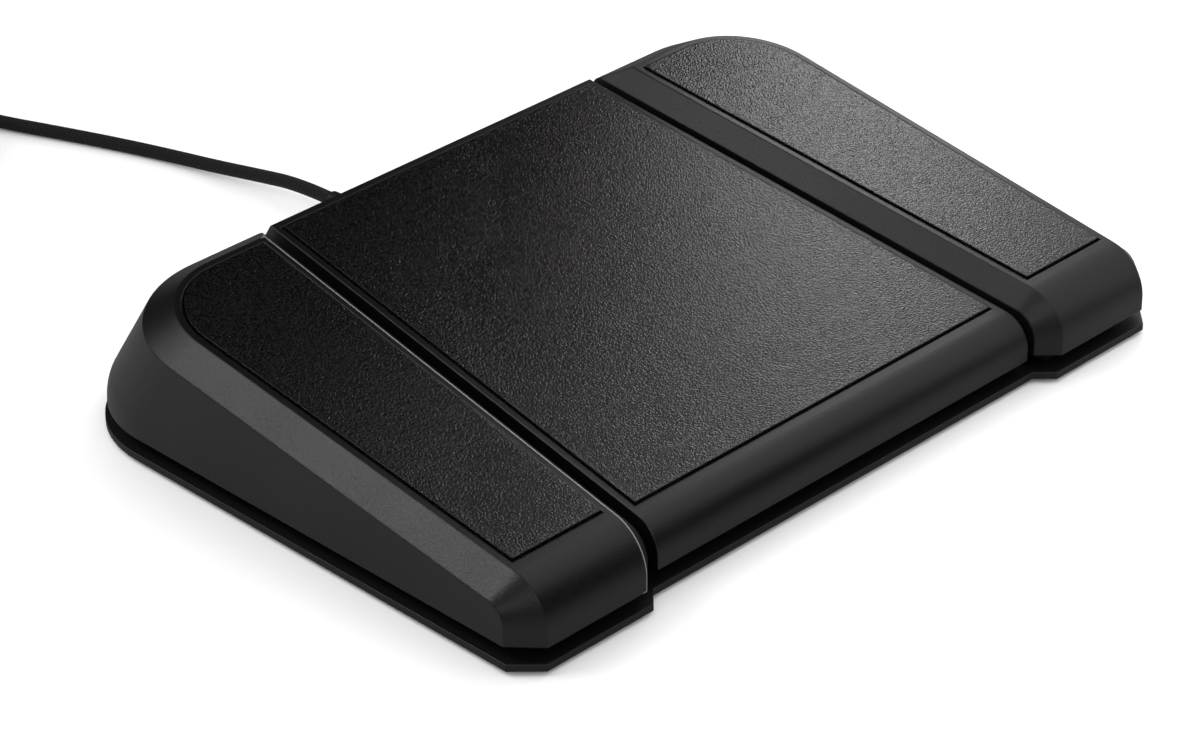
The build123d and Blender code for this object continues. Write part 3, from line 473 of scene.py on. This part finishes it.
def tube_mesh(name, line, along, radius, sides):
    """A closed tube round a line: each ring is radius (cos a side + sin a up) round a
    point of it. Its UV has the number of strands round it in U, and along it in V."""
    up, side = frames_along(line)
    turn = np.linspace(0, 2 * pi, sides, endpoint=False)
    ring = np.cos(turn)[None, :, None] * side[:, None] + np.sin(turn)[None, :, None] * up[:, None]
    points = (line[:, None] + radius * ring).reshape(-1, 3)
    row, column = np.meshgrid(np.arange(len(line) - 1), np.arange(sides), indexing="ij")
    i, j, k = row * sides, column, (column + 1) % sides
    faces = np.stack([i + j, i + k, i + sides + k, i + sides + j], -1).reshape(-1, 4)
    last_ring = (len(line) - 1) * sides
    ends = [list(range(sides))[::-1], list(range(last_ring, last_ring + sides))]
    mesh = bpy.data.meshes.new(name)
    mesh.from_pydata(points.tolist(), [], faces.tolist() + ends)
    u = np.stack([column, column + 1, column + 1, column], -1) * BRAID_STRANDS / sides
    v = along[np.stack([row, row, row + 1, row + 1], -1)] / BRAID_REPEAT
    places = np.concatenate([np.stack([u, v], -1).ravel(), np.zeros(4 * sides)])
    mesh.uv_layers.new(name="braid").data.foreach_set("uv", places.astype(np.float32))
    mesh.shade_smooth()
    obj = bpy.data.objects.new(name, mesh)
    bpy.context.scene.collection.objects.link(obj)
    return obj


route = metres(CORD_ROUTE_MM) + coil_points() + metres(TAIL_ROUTE_MM)
line, along = even_line(spline_points(route), LEAD_STEP)
lead = tube_mesh("braided_lead", line, along, LEAD_DIAMETER / 2, LEAD_SIDES)
paint(lead, MATERIALS["braid"])
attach(lead, "base")
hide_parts("cable_run", "cable_coil", "cable_tail")


# Return springs

def spring(side):
    """A wound wire spring in the CAD spring's place: the helix r (cos a, sin a) with z
    rising evenly, a going round SPRING_TURNS times."""
    low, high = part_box(f"{side}_return_spring")
    x, y = (low[0] + high[0]) / 2, (low[1] + high[1]) / 2
    radius = (high[0] - low[0] - SPRING_WIRE) / 2
    part = np.linspace(0, 1, SPRING_TURNS * SPRING_POINTS_A_TURN + 1)
    turn = 2 * pi * SPRING_TURNS * part
    z = low[2] + SPRING_WIRE / 2 + (high[2] - low[2] - SPRING_WIRE) * part
    line = np.stack([x + radius * np.cos(turn), y + radius * np.sin(turn), z], 1)
    coil = tube_mesh(f"{side}_wound_spring", line, part, SPRING_WIRE / 2, SPRING_SIDES)
    paint(coil, MATERIALS["steel"])
    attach(coil, "base")
    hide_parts(f"{side}_return_spring")
    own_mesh(coil)


for side in ("left", "middle", "right"):
    spring(side)


# Floor, light and camera

FLOOR_REACH = 6.0
FLOOR_SEEN = "f3f3f3"
FLOOR_LIT = "959595"
ROOM_IN_GLOSS = 0.02

# Name, place, the point it faces, width and height, and power in watts.
LAMPS = [
    # A small one low over the right pedal, for the light along the pedals' ridges.
    ("key", (0.26, 0.11, 0.16), (0.06, 0, 0.03), (0.108, 0.10), 0.15),
    # A broad one over the right front corner, for the front curves.
    ("front_right", (0.128, -0.086, 0.15), (0.03, -0.07, 0.02), (0.275, 0.437), 0.285),
    # One over the left pedal, for its slope and the left wall.
    ("left", (-0.36, 0.16, 0.42), (-0.12, -0.06, 0.03), (0.20, 0.20), 0.62),
    # Two large ones further off, for an even light on all of it.
    ("left_back", (-0.9, 1.25, 1.15), (0, 0, 0), (0.9, 0.9), 4.5),
    ("camera_side", (-1.2, -1.2, 1.3), (0, 0, 0), (1.2, 1.2), 8),
]


def aim(obj, place, way):
    """Puts a lamp or the camera in its place, looking along a way, into the scene."""
    obj.location = place
    obj.rotation_euler = Vector(way).to_track_quat("-Z", "Y").to_euler()
    bpy.context.scene.collection.objects.link(obj)


def floor():
    """A white laminate table under the object: z = 0 out to FLOOR_REACH. The camera sees
    it almost white, and it throws less of that back on the black pedals."""
    r = FLOOR_REACH
    mesh = bpy.data.meshes.new("floor")
    mesh.from_pydata([(-r, -r, 0), (r, -r, 0), (r, r, 0), (-r, r, 0)], [], [(0, 1, 2, 3)])
    obj = bpy.data.objects.new("floor", mesh)
    bpy.context.scene.collection.objects.link(obj)
    material, tree, shader = blank("white_laminate")
    path = add(tree, "ShaderNodeLightPath")
    seen = add(tree, "ShaderNodeMix", {"Factor": path.outputs["Is Camera Ray"],
                                       "A": linear(FLOOR_LIT), "B": linear(FLOOR_SEEN)},
               data_type="RGBA")
    fill(tree, shader, {"Base Color": seen.outputs["Result"], "Roughness": 0.35,
                        "Specular IOR Level": 0.3})
    paint(obj, material)


def area(name, place, target, size, power):
    """A rectangular lamp that the camera doesn't see."""
    light = bpy.data.lights.new(name, "AREA")
    light.shape = "RECTANGLE"
    light.size, light.size_y = size
    light.energy = power
    obj = bpy.data.objects.new(name, light)
    obj.visible_camera = False
    aim(obj, place, Vector(target) - Vector(place))


def world():
    """White all round for the camera and for even light. Gloss sees a nearly dark room,
    as the black pedals do in the photograph."""
    scene = bpy.context.scene
    scene.world = bpy.data.worlds.new("studio")
    scene.world.use_nodes = True
    tree = scene.world.node_tree
    white = linear("ffffff")
    sky = tree.nodes["Background"]
    fill(tree, sky, {"Color": white, "Strength": 1.0})
    seen = add(tree, "ShaderNodeBackground", {"Color": white, "Strength": 1.0})
    room = add(tree, "ShaderNodeBackground", {"Color": white, "Strength": ROOM_IN_GLOSS})
    path = add(tree, "ShaderNodeLightPath")
    gloss = add(tree, "ShaderNodeMixShader", {0: path.outputs["Is Glossy Ray"],
                                              1: sky.outputs[0], 2: room.outputs[0]})
    mix = add(tree, "ShaderNodeMixShader", {0: path.outputs["Is Camera Ray"],
                                            1: gloss.outputs[0], 2: seen.outputs[0]})
    tree.links.new(mix.outputs[0], tree.nodes["World Output"].inputs["Surface"])


def camera():
    """The camera of the photograph."""
    data = bpy.data.cameras.new("camera")
    data.lens = CAMERA_LENS_MM
    data.sensor_width = CAMERA_SENSOR_MM
    data.clip_end = CAMERA_SEES_TO
    obj = bpy.data.objects.new("camera", data)
    aim(obj, CAMERA_PLACE, CAMERA_WAY)
    bpy.context.scene.camera = obj


floor()
world()
for lamp in LAMPS:
    area(*lamp)
camera()
bpy.context.scene.view_settings.view_transform = "Standard"
